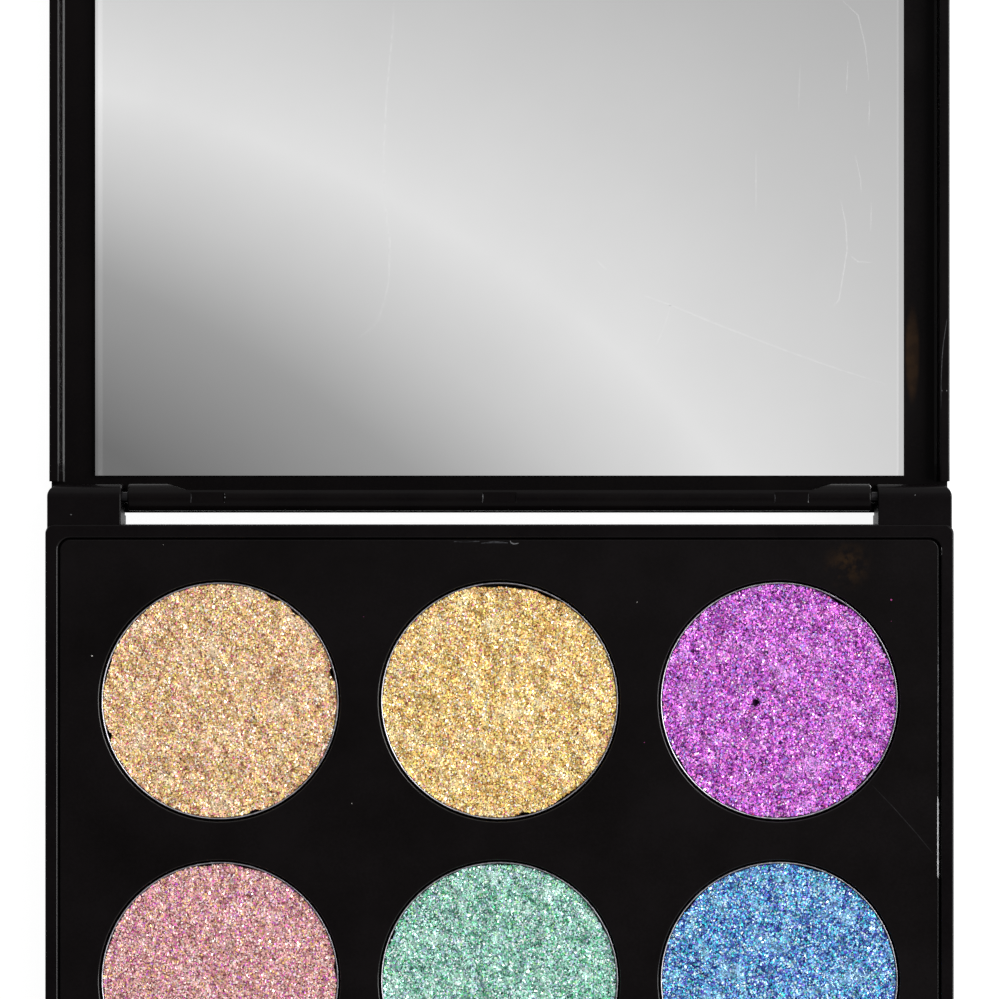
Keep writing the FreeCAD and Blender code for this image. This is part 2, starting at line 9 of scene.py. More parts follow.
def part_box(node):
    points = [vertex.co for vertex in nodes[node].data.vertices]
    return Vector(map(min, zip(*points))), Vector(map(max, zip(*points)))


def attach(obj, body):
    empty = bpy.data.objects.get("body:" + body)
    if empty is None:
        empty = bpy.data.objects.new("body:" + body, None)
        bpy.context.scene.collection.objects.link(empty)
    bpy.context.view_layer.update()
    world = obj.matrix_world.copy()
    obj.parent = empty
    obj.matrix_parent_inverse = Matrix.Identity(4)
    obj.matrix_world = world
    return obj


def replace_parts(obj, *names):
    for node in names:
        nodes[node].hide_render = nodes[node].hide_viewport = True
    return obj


# Eyeshadow palette, opened flat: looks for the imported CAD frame. The scene is in metres, and lengths in the
# dictionaries are in millimetres unless a note says otherwise.

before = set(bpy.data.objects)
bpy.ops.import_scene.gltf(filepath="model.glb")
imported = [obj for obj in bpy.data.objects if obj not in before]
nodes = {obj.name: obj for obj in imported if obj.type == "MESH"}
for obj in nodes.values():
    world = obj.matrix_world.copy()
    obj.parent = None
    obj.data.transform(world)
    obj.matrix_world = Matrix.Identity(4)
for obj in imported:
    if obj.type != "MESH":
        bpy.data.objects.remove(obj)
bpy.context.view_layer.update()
mm = 0.001
print("frame loaded:", len(nodes), "CAD nodes")


def tone(hexCode):  # sRGB hex to the linear colour that the shaders take
    parts = [int(hexCode[i:i + 2], 16) / 255 for i in (0, 2, 4)]
    return tuple(c / 12.92 if c <= 0.04045 else ((c + 0.055) / 1.055) ** 2.4 for c in parts) + (1.0,)


def grey(level):
    return (level, level, level, 1.0)


def addNode(tree, kind, inputs=None, **settings):  # inputs: socket name or number -> value or output socket
    node = tree.nodes.new("ShaderNode" + kind)
    for name, value in settings.items():
        setattr(node, name, value)
    for key, value in (inputs or {}).items():
        if isinstance(value, bpy.types.NodeSocket):
            tree.links.new(value, node.inputs[key])
        else:
            node.inputs[key].default_value = value
    return node


def sums(tree, operation, *values):
    return addNode(tree, "Math", dict(enumerate(values)), operation=operation).outputs[0]


def vectorSums(tree, operation, *values):
    return addNode(tree, "VectorMath", dict(enumerate(values)), operation=operation).outputs


def axesOf(tree, vector):
    return addNode(tree, "SeparateXYZ", {0: vector}).outputs


def mixTones(tree, amount, first, second):
    return addNode(tree, "MixRGB", {"Fac": amount, "Color1": first, "Color2": second}).outputs[0]


def spread(tree, value, fromRange, toRange, soft=False):
    made = addNode(tree, "MapRange", {"Value": value, "From Min": fromRange[0], "From Max": fromRange[1],
                                      "To Min": toRange[0], "To Max": toRange[1]})
    made.interpolation_type = "SMOOTHSTEP" if soft else "LINEAR"
    return made.outputs["Result"]


def ramp(tree, value, stops, mode="LINEAR"):  # stops: (place, colour)
    made = addNode(tree, "ValToRGB", {"Fac": value})
    made.color_ramp.interpolation = mode
    elements = made.color_ramp.elements
    while len(elements) < len(stops):
        elements.new(0.5)
    for element, (place, colour) in zip(elements, stops):
        element.position = place
        element.color = colour
    return made.outputs["Color"]


def twoTones(tree, value, valueRange, low, high):
    return ramp(tree, value, [(valueRange[0], tone(low)), (valueRange[1], tone(high))])


def grain(tree, coords, size, detail=3.0, rough=0.5):  # noise with features of about this size
    return addNode(tree, "TexNoise", {"Vector": coords, "Scale": 1 / (size * mm), "Detail": detail,
                                      "Roughness": rough}).outputs["Fac"]


def startMaterial(name):
    made = bpy.data.materials.new(name)
    made.use_nodes = True
    tree = made.node_tree
    return made, tree, tree.nodes["Principled BSDF"]


def setSockets(shader, **values):
    for key, value in values.items():
        shader.inputs[key.replace("_", " ")].default_value = value


def feedSockets(tree, shader, **outputs):
    for key, output in outputs.items():
        tree.links.new(output, shader.inputs[key.replace("_", " ")])


def objectCoords(tree):
    return addNode(tree, "TexCoord").outputs["Object"]


def surfaceWay(tree):
    return addNode(tree, "NewGeometry").outputs["Normal"]


def turnWay(tree, way, fromSpace, toSpace):
    return addNode(tree, "VectorTransform", {"Vector": way}, vector_type="NORMAL",
                   convert_from=fromSpace, convert_to=toSpace).outputs[0]


# Moulded plastic: dull on the flats, and rubbed bright along its rounded edges. The hinge is duller, and the
# sides of its lugs, the cheeks, are matt. A smudge is powder wiped over the plastic.

mouldLook = {
    "cloud": 9.0, "speckle": 0.35, "cloudShare": 0.75, "toneRange": (0.3, 0.75), "wearRange": (0.35, 0.7),
    "smear": 1.6, "smearRange": (0.42, 0.62), "smearFull": 0.8,
    "peel": 0.02, "peelStrength": 0.05, "coatRough": 0.08, "roundRange": (0.9, 0.995),
    "lugRange": (41.0, 41.6), "dullReach": (2.0, 3.6), "dullFade": (0.95, 1.08),
    "cheekRange": (0.7, 0.95), "cheekDull": 0.5, "cheekRough": 0.46,
}
plasticLooks = {
    "base": {"dark": "080607", "pale": "0f0c0d", "smooth": 0.22, "worn": 0.36, "shine": 0.05,
             "edge": 0.4, "hinge": 0.16},
    # the lid's pale tone is a touch darker than the base's: painted shade for its recess
    "lid": {"dark": "080607", "pale": "0e0b0b", "smooth": 0.22, "worn": 0.36, "shine": 0.05,
            "edge": 0.4, "hinge": 0.16,
            "smudge": {"place": (45.85, 53.6, 1.3), "reach": (0.95, 6.0, 1.0),
                       "core": 0.55, "thin": 0.5, "tint": "2a1d12"}},
    "tray": {"dark": "0a0808", "pale": "110e0f", "smooth": 0.2, "worn": 0.34, "shine": 0.06,
             "edge": 0.75, "hinge": 0.16,
             "smudge": {"place": (38.2, 30.3, 7.05), "reach": (3.2, 3.2, 3.2),
                        "core": 0.0, "thin": 0.0, "tint": "2a1d10"}},
}
hingeLow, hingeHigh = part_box("hinge_pin_left")
hingeY = (hingeLow.y + hingeHigh.y) / 2


def smearPowder(tree, place, colour, spot):
    off = vectorSums(tree, "SUBTRACT", place, Vector(spot["place"]) * mm)[0]
    off = vectorSums(tree, "DIVIDE", off, Vector(spot["reach"]) * mm)[0]
    away = vectorSums(tree, "LENGTH", off)["Value"]
    patchy = grain(tree, place, mouldLook["smear"], detail=4, rough=0.6)
    patchy = spread(tree, patchy, mouldLook["smearRange"], (spot["thin"], mouldLook["smearFull"]), soft=True)
    dusty = sums(tree, "MULTIPLY", spread(tree, away, (spot["core"], 1), (1, 0), soft=True), patchy)
    return mixTones(tree, dusty, colour, tone(spot["tint"]))


def nearHinge(tree, place):  # 1 round the hinge axis, with a wider reach at the lugs
    at = axesOf(tree, place)
    away = sums(tree, "ABSOLUTE", sums(tree, "SUBTRACT", at["Y"], hingeY))
    reach = spread(tree, sums(tree, "ABSOLUTE", at["X"]), [length * mm for length in mouldLook["lugRange"]],
                   [length * mm for length in mouldLook["dullReach"]])
    return spread(tree, sums(tree, "DIVIDE", away, reach), mouldLook["dullFade"], (1, 0))


def mouldedPlastic(name, look):
    made, tree, shader = startMaterial(name)
    place = objectCoords(tree)
    cloudy = grain(tree, place, mouldLook["cloud"], detail=5, rough=0.6)  # slow change of depth
    speckle = grain(tree, place, mouldLook["speckle"], detail=2)
    share = mouldLook["cloudShare"]
    mixed = sums(tree, "MULTIPLY_ADD", cloudy, share, sums(tree, "MULTIPLY", speckle, 1 - share))
    colour = twoTones(tree, mixed, mouldLook["toneRange"], look["dark"], look["pale"])
    if "smudge" in look:
        colour = smearPowder(tree, place, colour, look["smudge"])

    way = axesOf(tree, turnWay(tree, surfaceWay(tree), "WORLD", "OBJECT"))
    rounded = spread(tree, sums(tree, "ABSOLUTE", way["Z"]), mouldLook["roundRange"], (1, 0), soft=True)
    near = nearHinge(tree, place)
    sideways = spread(tree, sums(tree, "ABSOLUTE", way["X"]), mouldLook["cheekRange"], (0, 1))
    cheek = sums(tree, "MULTIPLY", near, sideways)
    dulled = sums(tree, "SUBTRACT", 1, sums(tree, "MULTIPLY", cheek, mouldLook["cheekDull"]))
    gloss = sums(tree, "MULTIPLY", spread(tree, near, (0, 1), (look["edge"], look["hinge"])), dulled)
    rough = spread(tree, mixed, mouldLook["wearRange"], (look["smooth"], look["worn"]))
    rough = sums(tree, "MAXIMUM", rough, sums(tree, "MULTIPLY", cheek, mouldLook["cheekRough"]))
    peel = addNode(tree, "Bump", {"Strength": mouldLook["peelStrength"], "Distance": mouldLook["peel"] * mm,
                                  "Height": speckle}).outputs[0]
    feedSockets(tree, shader, Base_Color=colour, Roughness=rough, Normal=peel,
                Coat_Weight=sums(tree, "MULTIPLY", rounded, gloss))
    setSockets(shader, Specular_IOR_Level=look["shine"], Coat_Roughness=mouldLook["coatRough"])
    return made


basePlastic = mouldedPlastic("basePlastic", plasticLooks["base"])
lidPlastic = mouldedPlastic("lidPlastic", plasticLooks["lid"])
trayPlastic = mouldedPlastic("trayPlastic", plasticLooks["tray"])

# Silvered glass: the silver behind is flat, so the bevel is painted on: a painted highlight in white along
# the sides and painted shade, a dimmer grey rim, outside it, both by their distance from the edge. The far
# bevel is seen from behind, as a facet.

mirrorLook = {
    "silver": "f4f4f4", "haze": "f0f0f0", "bright": "ffffff", "cloud": 22.0, "hazeRange": (0.35, 0.75),
    "clear": 0.012, "smudged": 0.04, "smudgeRange": (0.45, 0.8),
    # the gleam is a painted highlight and the rim is painted shade, both by distance from the edge
    "paintedGleam": {"left": [(0.25, 0.0), (0.42, 0.05), (0.68, 0.05), (0.98, 0.0)],
              "right": [(0.58, 0.0), (0.68, 0.03), (0.76, 0.03), (0.88, 0.0)]},
    "fullPaintedGleam": 0.05,
    "rim": {"left": (0.3, "ededed"), "right": (0.6, "e8e8e8")}, "rimFade": 0.08,
    "facet": (1.1, 1.0),  # from the far end
}


def silveredGlass():
    made, tree, shader = startMaterial("silveredGlass")
    place = objectCoords(tree)
    smudges = grain(tree, place, mirrorLook["cloud"], detail=4, rough=0.6)
    colour = twoTones(tree, smudges, mirrorLook["hazeRange"], mirrorLook["silver"], mirrorLook["haze"])
    low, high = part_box("mirror")
    at = axesOf(tree, place)
    inward = {"left": sums(tree, "SUBTRACT", at["X"], low.x),
              "right": sums(tree, "SUBTRACT", high.x, at["X"])}
    metal = 1.0
    for side, distance in inward.items():
        inside = sums(tree, "DIVIDE", distance, mm)
        # painted shade: the bevel's rim takes a dimmer grey tint
        reach, tint = mirrorLook["rim"][side]
        rim = spread(tree, inside, (reach, reach + mirrorLook["rimFade"]), (1, 0))
        colour = mixTones(tree, rim, colour, tone(tint))
        # painted highlight: white mixed in along the gleam, with less silver there
        paintedGleam = ramp(tree, inside, [(spot, grey(level)) for spot, level in mirrorLook["paintedGleam"][side]])
        lit = spread(tree, paintedGleam, (0, mirrorLook["fullPaintedGleam"]), (0, 1))
        colour = mixTones(tree, lit, colour, tone(mirrorLook["bright"]))
        metal = sums(tree, "SUBTRACT", metal, paintedGleam)
    rough = spread(tree, smudges, mirrorLook["smudgeRange"], (mirrorLook["clear"], mirrorLook["smudged"]))
    faceWay = turnWay(tree, (0, 0, 1), "OBJECT", "WORLD")
    farEnd = spread(tree, at["Y"], [high.y - inset * mm for inset in mirrorLook["facet"]], (0, 1))
    feedSockets(tree, shader, Base_Color=colour, Metallic=metal, Roughness=rough,
                Normal=mixTones(tree, farEnd, faceWay, surfaceWay(tree)))
    return made


mirrorGlass = silveredGlass()

# Metals, glue and tape. squeeze: how the grain is stretched, per axis.

grainRange = (0.3, 0.7)  # of the noise, from the low tone to the high one
metalLooks = {
    "tin": {"low": "a2a0a7", "high": "cac8cf", "smooth": 0.3, "rough": 0.47,
            "lines": 0.5, "squeeze": (1, 1, 0.1)},
    "pin": {"low": "1f1e1f", "high": "3a393b", "smooth": 0.25, "rough": 0.45,
            "lines": 0.3, "squeeze": (0.05, 1, 1)},
}


def drawnMetal(name, look):
    made, tree, shader = startMaterial(name)
    place = addNode(tree, "Mapping", {"Vector": objectCoords(tree), "Scale": look["squeeze"]}).outputs[0]
    lines = grain(tree, place, look["lines"])
    feedSockets(tree, shader, Base_Color=twoTones(tree, lines, grainRange, look["low"], look["high"]),
                Roughness=spread(tree, lines, grainRange, (look["smooth"], look["rough"])))
    setSockets(shader, Metallic=1.0)
    return made


tinMetal = drawnMetal("tinMetal", metalLooks["tin"])
pinSteel = drawnMetal("pinSteel", metalLooks["pin"])

fillLooks = {
    "glue": {"low": "cfc6ac", "high": "e2dcc8", "size": 1.5, "smooth": 0.25, "rough": 0.45},
    "tape": {"low": "dcdbd5", "high": "ecebe6", "size": 0.6, "smooth": 0.7, "rough": 0.9},
}


def hiddenFill(name, look):
    made, tree, shader = startMaterial(name)
    fibres = grain(tree, objectCoords(tree), look["size"], detail=4)
    feedSockets(tree, shader, Base_Color=twoTones(tree, fibres, grainRange, look["low"], look["high"]),
                Roughness=spread(tree, fibres, (0, 1), (look["smooth"], look["rough"])))
    return made


glueFill = hiddenFill("glueFill", fillLooks["glue"])
tapeFill = hiddenFill("tapeFill", fillLooks["tape"])

finishes = {"base_shell": basePlastic, "lid_shell": lidPlastic, "pan_tray": trayPlastic,
            "mirror": mirrorGlass, "mirror_tape": tapeFill,
            "hinge_pin_left": pinSteel, "hinge_pin_right": pinSteel}
for nodeName, node in nodes.items():
    finish = glueFill if nodeName.startswith("glue_dot") else finishes.get(nodeName, tinMetal)
    node.data.materials.clear()
    node.data.materials.append(finish)
print("CAD nodes have their finishes")


def newPiece(name, points, faces, materials, body, smooth=False, faceSlots=None):
    mesh = bpy.data.meshes.new(name)
    mesh.from_pydata([tuple(p) for p in points], [], [tuple(f) for f in faces])
    for material in materials:
        mesh.materials.append(material)
    if faceSlots is not None:
        mesh.polygons.foreach_set("material_index", np.array(faceSlots, np.int32))
    if smooth:
        mesh.polygons.foreach_set("use_smooth", np.ones(len(mesh.polygons), bool))
    mesh.update()
    piece = bpy.data.objects.new(name, mesh)
    bpy.context.scene.collection.objects.link(piece)
    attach(piece, body)
    return piece


def middleOf(nodeName):  # x and y of the middle, bottom, top and radius
    low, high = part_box(nodeName)
    return (low.x + high.x) / 2, (low.y + high.y) / 2, low.z, high.z, (high.x - low.x) / 2


# Tin pans with a thin rolled lip

panLook = {"wall": 0.16, "corner": 0.6, "nose": 0.03,
           "around": 180, "footSteps": 4, "noseSteps": 2, "lipSteps": 6}


def panProfile(bottom, top, radius):  # radius and height, from under the pan over the lip to the inside
    wall, corner, nose = panLook["wall"] * mm, panLook["corner"] * mm, panLook["nose"] * mm
    profile = [(0, bottom)]

    def bend(middleR, middleZ, size, fromDeg, toDeg, steps, skip=0):
        for step in range(skip, steps + 1):
            turn = math.radians(fromDeg + (toDeg - fromDeg) * step / steps)
            profile.append((middleR + size * math.cos(turn), middleZ + size * math.sin(turn)))

    foot, lip = panLook["footSteps"], panLook["lipSteps"]
    bend(radius - corner, bottom + corner, corner, -90, 0, foot)  # round foot, outside
    bend(radius - nose, top - nose, nose, 0, 90, panLook["noseSteps"])  # small outer nose of the lip
    bend(radius - nose, top - (wall - nose), wall - nose, 90, 180, lip, skip=1)  # then it rolls inward
    bend(radius - corner, bottom + corner, corner - wall, 0, -90, foot)  # round foot, inside
    return profile + [(0, bottom + wall)]


def tinPan(spot):
    x, y, bottom, top, radius = middleOf("pan_" + spot)
    profile = panProfile(bottom, top, radius)
    around = panLook["around"]
    points, faces = [], []
    for r, z in profile:
        for k in range(around):
            turn = 2 * math.pi * k / around
            points.append((x + r * math.cos(turn), y + r * math.sin(turn), z))
    for row in range(len(profile) - 1):
        for k in range(around):
            a, b = row * around + k, row * around + (k + 1) % around
            faces.append((a, b, b + around, a + around))
    piece = newPiece("tin_" + spot, points, faces, [tinMetal], "base", smooth=True)
    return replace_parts(piece, "pan_" + spot)


# Pressed glitter: a lumpy binder under single flakes

cakeLook = {
    "tinGap": 0.16, "sink": 0.15, "curl": 0.08, "curlWide": 0.6, "margin": 0.02,
    "pitDepth": 2.0, "pitWide": 1.35,  # in radii of the pit
    "lumps": [(3.0, 0.12), (1.1, 0.12), (0.45, 0.055)],  # across, high
    "noiseStep": (3.17, 1.71, 0.93),  # so that each seed has lumps of its own
    "wobble": [(3, 1.0), (11, 0.6)],  # how quickly the outline wavers, and its share
    "cells": 131, "cellsReach": 1.02,  # the square of heights, and how far it reaches past the cake
}
binderLook = {
    "drop": 0.05, "footHigh": 0.5, "footIn": 0.05, "soleHigh": 0.01, "soleIn": 0.5,
    "rings": 46, "around": 200,
    "powder": 0.3, "powderRange": (0.3, 0.75), "darker": 0.45, "rough": 0.7, "metal": 0.2, "shine": 0.3,
}
flakeLook = {
    "count": 37000, "size": 0.122,
    "sizeSpread": 0.24, "sizeLimits": (-0.6, 0.38),  # as powers of e
    "jitter": 0.05, "turnJitter": 0.004, "margin": 0.04, "tilt": 13.0, "lift": 0.022,
    "cornerJitter": 0.3, "cornerReach": (0.75, 1.2),
    # patch, pale and deep: size and strength of painted sheen and painted shade in patches
    "patch": 3.2, "pale": 0.45, "paintedSheenRange": (0.5, 0.72), "deep": 0.4, "paintedShadeRange": (0.28, 0.48),
    "bareRange": (0.86, 0.9), "metal": (0.1, 0.85), "rough": (0.5, 0.2), "shine": 0.3,
    "shuffle": 731.7,  # any large factor, for a second draw per flake
}

# ramp: (share of the flakes, colour). gaps: where the cake has shrunk from the rim, as (degrees from +X, half
# spread in degrees, depth). pits: (x, y, radius) from the pan's middle. sheen: the colour of painted sheen.
# binder: the powder's own colour, also used for painted shade in dark patches of the flakes.

# Each ramp holds the flakes' own colours. Its darkest stops also stand in for painted shade between flakes,
# and its near-white stops are painted sparkle.
cakeShades = {
    "back_left": {
        "slot": "champagne_glitter", "seed": 3, "patchy": 1.2, "relief": 1.2,
        "binder": "936c4b", "paintedSheen": "ffeed0",
        "ramp": [(0.10, "985c3a"), (0.14, "d69e67"), (0.18, "f6c387"), (0.16, "ffe2a7"), (0.12, "fff9db"),
                 (0.03, "ffffff"), (0.08, "fdb4af"), (0.04, "d65b83"), (0.08, "f9e570"), (0.04, "b8b458"),
                 (0.03, "f0c7db")],
        "gaps": [(63, 3, 0.3), (50, 2.5, 0.22), (14, 3, 0.35), (163, 6, 0.15), (197, 2.5, 0.35),
                 (-73, 2.5, 0.3)],
        "pits": [(8.6, 0.6, 0.1), (-4.4, -6.4, 0.14), (4.3, -4.2, 0.1), (-8.0, 1.2, 0.1)],
    },
    "back_center": {
        "slot": "gold_glitter", "seed": 5, "patchy": 1.2, "relief": 1.2,
        "binder": "967140", "paintedSheen": "fff0be",
        "ramp": [(0.10, "9a5f28"), (0.14, "da9c4d"), (0.20, "f7c873"), (0.18, "fde597"), (0.13, "fff8d4"),
                 (0.03, "ffffff"), (0.07, "f8c0a4"), (0.02, "d06095"), (0.09, "f6e76e"), (0.04, "b9a44e")],
        "gaps": [(94, 6, 0.3), (82, 7, 0.35), (66, 6, 0.28), (-78, 3, 0.3), (-55, 8, 0.18)],
        "pits": [(-11.4, 0.55, 0.16), (-10.9, 0.4, 0.16), (8.5, -3.6, 0.16), (7.7, 5.7, 0.11),
                 (-6.6, -3.4, 0.09)],
    },
    "back_right": {
        "slot": "purple_glitter", "seed": 7, "patchy": 1.1, "relief": 1.35,
        "binder": "4c1a56", "paintedSheen": "efb4fb",
        "ramp": [(0.13, "47065a"), (0.16, "8f29a3"), (0.22, "c751d3"), (0.18, "e674e9"), (0.10, "f7aff6"),
                 (0.03, "f7e9f6"), (0.07, "f778cb"), (0.07, "a082f4"), (0.03, "d0b2f6"), (0.02, "bf3871")],
        "gaps": [(60, 5, 0.2), (27, 4, 0.18), (212, 5, 0.15), (-40, 6, 0.15)],
        "pits": [(-2.55, -0.2, 0.44), (6.3, 10.9, 0.2), (-9.5, 5.4, 0.2), (-11.1, 2.5, 0.18),
                 (-3.2, -8.0, 0.16)],
    },
    "front_left": {
        "slot": "rose_glitter", "seed": 11, "patchy": 0.75, "relief": 0.95,
        "binder": "865658", "paintedSheen": "ffe2de",
        "ramp": [(0.11, "87494c"), (0.15, "bd7c7f"), (0.19, "e5a4a0"), (0.18, "fbc5bd"), (0.12, "feeae2"),
                 (0.02, "fff4f0"), (0.08, "f06ebd"), (0.03, "b652ca"), (0.06, "f8ca74"), (0.04, "fdd0ef"),
                 (0.03, "b3a272")],
        "gaps": [(96, 5, 0.15), (78, 4, 0.2), (160, 6, 0.1), (6, 3, 0.2)],
        "pits": [(-5.0, 4.8, 0.12), (0.6, 9.0, 0.1), (6.1, 2.3, 0.1)],
    },
    "front_center": {
        "slot": "mint_glitter", "seed": 19, "patchy": 1.25, "relief": 1.25,
        "binder": "41675c", "paintedSheen": "dcfdf0",
        "ramp": [(0.13, "2a5f52"), (0.14, "6ba796"), (0.18, "8fd2bc"), (0.16, "b8efdd"), (0.12, "ebf8f7"),
                 (0.03, "f6f8f7"), (0.10, "4ec886"), (0.09, "acbadd"), (0.03, "aaf191"), (0.03, "dde6f7")],
        "gaps": [(158, 5, 0.2), (88, 5, 0.12), (30, 9, 0.12)],
        "pits": [(-7.2, 7.0, 0.12), (2.0, 3.0, 0.1), (-1.5, 6.2, 0.1)],
    },
    "front_right": {
        "slot": "blue_glitter", "seed": 17, "patchy": 1.4, "relief": 1.35,
        "binder": "1c3468", "paintedSheen": "b2ecfd",
        "ramp": [(0.20, "122a7c"), (0.15, "2f60b4"), (0.11, "568cdc"), (0.14, "88c4f4"), (0.13, "d0f4fc"),
                 (0.02, "f0fcff"), (0.13, "3ad2ee"), (0.08, "5b47cc"), (0.02, "9c74e0"), (0.02, "38c4a2")],
        "gaps": [(75, 6, 0.15), (140, 8, 0.12)],
        "pits": [(-6.9, 3.0, 0.12), (3.5, 6.0, 0.1)],
    },
}


def flakeFoil(name, shade):
    made, tree, shader = startMaterial(name)
    island = addNode(tree, "NewGeometry").outputs["Random Per Island"]
    stops, place = [], 0.0
    for share, code in shade["ramp"]:
        stops.append((place, tone(code)))
        place += share
    colour = ramp(tree, island, stops, "CONSTANT")
    # patches of painted sheen and painted shade over the flake colours
    patches = grain(tree, objectCoords(tree), flakeLook["patch"], detail=5, rough=0.66)
    pale = spread(tree, patches, flakeLook["paintedSheenRange"], (0, flakeLook["pale"] * shade["patchy"]), soft=True)
    deep = spread(tree, patches, flakeLook["paintedShadeRange"], (flakeLook["deep"] * shade["patchy"], 0), soft=True)
    colour = mixTones(tree, pale, colour, tone(shade["paintedSheen"]))  # painted sheen in pale patches
    colour = mixTones(tree, deep, colour, tone(shade["binder"]))  # painted shade in dark patches, in the binder's colour
    shuffled = sums(tree, "MULTIPLY", island, flakeLook["shuffle"])
    dice = addNode(tree, "TexWhiteNoise", {"W": shuffled}, noise_dimensions="1D").outputs["Value"]
    metal = spread(tree, dice, flakeLook["bareRange"], flakeLook["metal"])  # about one in eight is bare foil
    feedSockets(tree, shader, Base_Color=colour, Metallic=metal,
                Roughness=spread(tree, dice, (0, 1), flakeLook["rough"]))
    setSockets(shader, Specular_IOR_Level=flakeLook["shine"])
    return made


def binderPowder(name, shade):
    made, tree, shader = startMaterial(name)
    powder = grain(tree, objectCoords(tree), binderLook["powder"])
    deep = tone(shade["binder"])
    darker = tuple(c * binderLook["darker"] for c in deep[:3]) + (1.0,)
    stops = list(zip(binderLook["powderRange"], (darker, deep)))
    feedSockets(tree, shader, Base_Color=ramp(tree, powder, stops))
    setSockets(shader, Roughness=binderLook["rough"], Metallic=binderLook["metal"],
               Specular_IOR_Level=binderLook["shine"])
    return made


def lumpMap(shade, half):  # heights in metres on a square of cells, with their slopes
    cells, seed = cakeLook["cells"], shade["seed"]
    pitch = 2 * half / (cells - 1)
    heights = np.zeros((cells, cells))
    shift = Vector([seed * step for step in cakeLook["noiseStep"]])
    for i in range(cells):
        for j in range(cells):
            at = Vector((i * pitch / mm, j * pitch / mm, 0))
            lumps = sum(high * noise.noise(at / wide + shift) for wide, high in cakeLook["lumps"])
            heights[i, j] = mm * shade["relief"] * lumps
    return heights, np.gradient(heights, pitch)


def cakeSurface(shade, radius, top):  # outline, height and lean of a cake, by x and y from its middle
    cells, half = cakeLook["cells"], radius * cakeLook["cellsReach"]
    heights, slopes = lumpMap(shade, half)

    def cellOf(at):
        return np.clip(np.rint((at + half) / (2 * half) * (cells - 1)).astype(int), 0, cells - 1)

    def waver(turn):
        return sum(share * noise.noise(Vector((beat * math.cos(turn), beat * math.sin(turn), shade["seed"])))
                   for beat, share in cakeLook["wobble"])

    def edgeAt(turn):  # the cake has drawn back from the tin in places
        edge = np.full_like(turn, radius)
        for middle, spreadDeg, depth in shade["gaps"]:
            off = np.degrees(np.angle(np.exp(1j * (turn - math.radians(middle)))))
            edge -= depth * mm * np.exp(-(off / spreadDeg) ** 2)
        return edge - cakeLook["margin"] * mm * (1 + np.array([waver(t) for t in turn]))

    def nearEdge(px, py):  # 0 inside, up to 1 where the cake curls up against the tin
        past = np.hypot(px, py) - edgeAt(np.arctan2(py, px))
        return np.clip(past / (cakeLook["curlWide"] * mm) + 1, 0, 1)

    def heightAt(px, py):
        z = top + (cakeLook["curl"] * nearEdge(px, py) ** 2 - cakeLook["sink"]) * mm
        z = z + heights[cellOf(px), cellOf(py)]
        for pitX, pitY, pitR in shade["pits"]:
            away = np.hypot(px - pitX * mm, py - pitY * mm) / (pitR * mm)
            z -= cakeLook["pitDepth"] * pitR * mm * np.clip(cakeLook["pitWide"] - away, 0, 1)
        return z

    def leanAt(px, py):
        facing = np.arctan2(py, px)
        curl = 2 * cakeLook["curl"] / cakeLook["curlWide"] * nearEdge(px, py)
        slopeX, slopeY = [slope[cellOf(px), cellOf(py)] for slope in slopes]
        return -slopeX - curl * np.cos(facing), -slopeY - curl * np.sin(facing)

    return edgeAt, heightAt, leanAt


def binderBody(x, y, bottom, edgeAt, heightAt):  # a lumpy disc with its side and bottom
    rings, around, drop = binderLook["rings"], binderLook["around"], binderLook["drop"] * mm
    turns = np.arange(around) * 2 * math.pi / around
    edges = edgeAt(turns)
    points, faces = [(x, y, heightAt(np.zeros(1), np.zeros(1))[0] - drop)], []
    for ring in range(1, rings + 1):
        r = edges * (ring / rings)
        px, py = r * np.cos(turns), r * np.sin(turns)
        points += list(zip(px + x, py + y, heightAt(px, py) - drop))
    for part in ("foot", "sole"):
        r = edges - binderLook[part + "In"] * mm
        z = bottom + binderLook[part + "High"] * mm
        points += list(zip(r * np.cos(turns) + x, r * np.sin(turns) + y, [z] * around))
    points.append((x, y, bottom + binderLook["soleHigh"] * mm))
    last = 1 + (rings + 1) * around
    for k in range(around):
        after = (k + 1) % around
        faces.append((0, 1 + k, 1 + after))
        for ring in range(rings + 1):
            a, b = 1 + ring * around, 1 + (ring + 1) * around
            faces.append((a + k, b + k, b + after, a + after))
        faces.append((last + k, len(points) - 1, last + after))
    return points, faces


